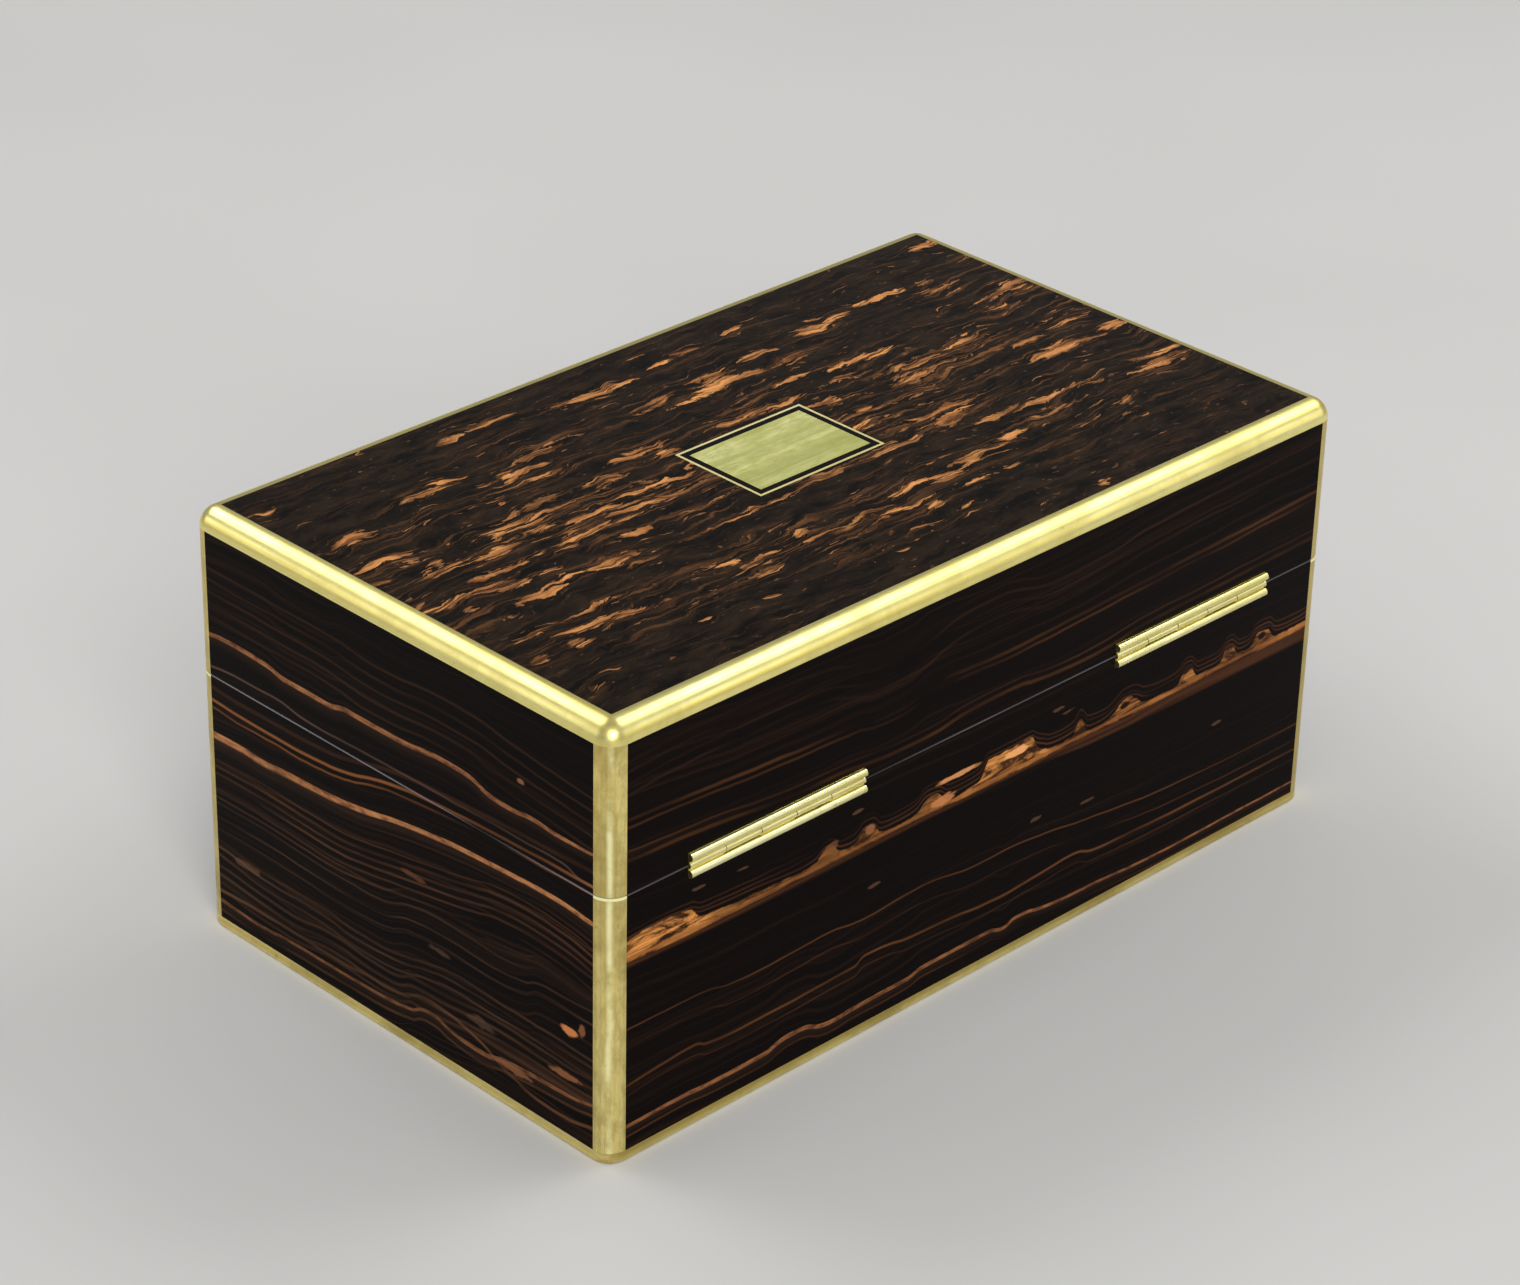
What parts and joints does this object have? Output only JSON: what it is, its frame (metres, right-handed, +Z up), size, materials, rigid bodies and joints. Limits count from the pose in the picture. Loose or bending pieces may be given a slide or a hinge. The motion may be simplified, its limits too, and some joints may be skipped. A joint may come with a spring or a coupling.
{
  "type": "travelling jewelry box",
  "caption": "Brass-bound veneered box with a hinged lid, lock and key, velvet-lined well and a lift-out tray with ring rolls and compartments.",
  "frame": {"origin": "centre of the underside, on the surface the box stands on", "axes": "+X along the box, +Y towards the hinged back, -Y towards the lock, +Z up"},
  "size_m": [0.305, 0.2219, 0.142],
  "materials": {
    "aged_brass": "satin, dulled",
    "baize": "dark baize",
    "bright_brass": "polished, with light handling marks",
    "carcass": "oiled mahogany",
    "figured_veneer": "French polished coromandel veneer",
    "lock_brass": "satin",
    "plate_brass": "brushed along its length, dulled",
    "ribbon": "blue ribbon",
    "rim_wood": "polished banding",
    "silk": "blue padded silk velvet",
    "steel": "worn bright steel",
    "straight_veneer": "French polished coromandel veneer",
    "velvet": "blue velvet"
  },
  "bodies": {
    "base": {"base_board_back": "carcass", "base_board_front": "carcass", "base_board_left": "carcass", "base_board_right": "carcass", "base_bottom_board": "carcass", "base_corner_straps": "aged_brass", "base_rim_banding": "rim_wood", "base_veneer_back": "straight_veneer", "base_veneer_front": "straight_veneer", "base_veneer_left": "straight_veneer", "base_veneer_right": "straight_veneer", "escutcheon": "lock_brass", "foot_strips_long": "aged_brass", "foot_strips_short": "aged_brass", "hinge_leaves_base": "bright_brass", "hinge_pins": "steel", "hinge_screws_base": "lock_brass", "lock_case": "lock_brass", "lock_screws": "lock_brass", "lock_selvedge": "lock_brass", "underside_baize": "baize", "well_divider": "velvet", "well_floor_pads": "velvet", "well_lining_long": "velvet", "well_lining_short": "velvet"},
    "lid": {"hinge_leaves_lid": "bright_brass", "hinge_screws_lid": "lock_brass", "hook_plate_screws": "lock_brass", "initial_plate": "plate_brass", "lid_corner_straps": "aged_brass", "lid_edging_back": "bright_brass", "lid_edging_back_end": "bright_brass", "lid_edging_front": "bright_brass", "lid_edging_left": "bright_brass", "lid_edging_right": "bright_brass", "lid_hook_plate": "lock_brass", "lid_pad": "silk", "lid_rail_back": "carcass", "lid_rail_front": "carcass", "lid_rail_left": "carcass", "lid_rail_right": "carcass", "lid_rim_banding": "rim_wood", "lid_top_board": "carcass", "lid_veneer_back": "straight_veneer", "lid_veneer_front": "straight_veneer", "lid_veneer_left": "straight_veneer", "lid_veneer_right": "straight_veneer", "lid_veneer_top": "figured_veneer", "lid_wall_lining": "velvet", "plate_line": "bright_brass"},
    "tray": {"ring_rolls": "velvet", "tray_divider_long": "velvet", "tray_dividers_cross": "velvet", "tray_floor": "velvet", "tray_floor_pads": "velvet", "tray_lift_tabs": "ribbon", "tray_sides_long": "velvet", "tray_sides_short": "velvet"},
    "bolt": {"lock_bolt": "steel"},
    "key": {"key": "steel"}
  },
  "joints": [
    {"name": "lid_hinge", "type": "hinge", "parent": "base", "child": "lid", "pos_m": [0, 0.09, 0.088], "axis": [-1, 0, 0], "range_deg": [0, 95]},
    {"name": "tray_lift", "type": "slide", "parent": "base", "child": "tray", "axis": [0, 0, 1], "range_m": [0, 0.03]},
    {"name": "key_turn", "type": "hinge", "parent": "base", "child": "key", "pos_m": [0, -0.1, 0.066], "axis": [0, 1, 0], "range_deg": [0, 60]},
    {"name": "bolt_throw", "type": "slide", "parent": "base", "child": "bolt", "axis": [1, 0, 0], "range_m": [0, 0.00305]}
  ],
  "couplings": [
    {"joint": "bolt_throw", "follows": "key_turn", "m_per_rad": 0.0028648}
  ]
}
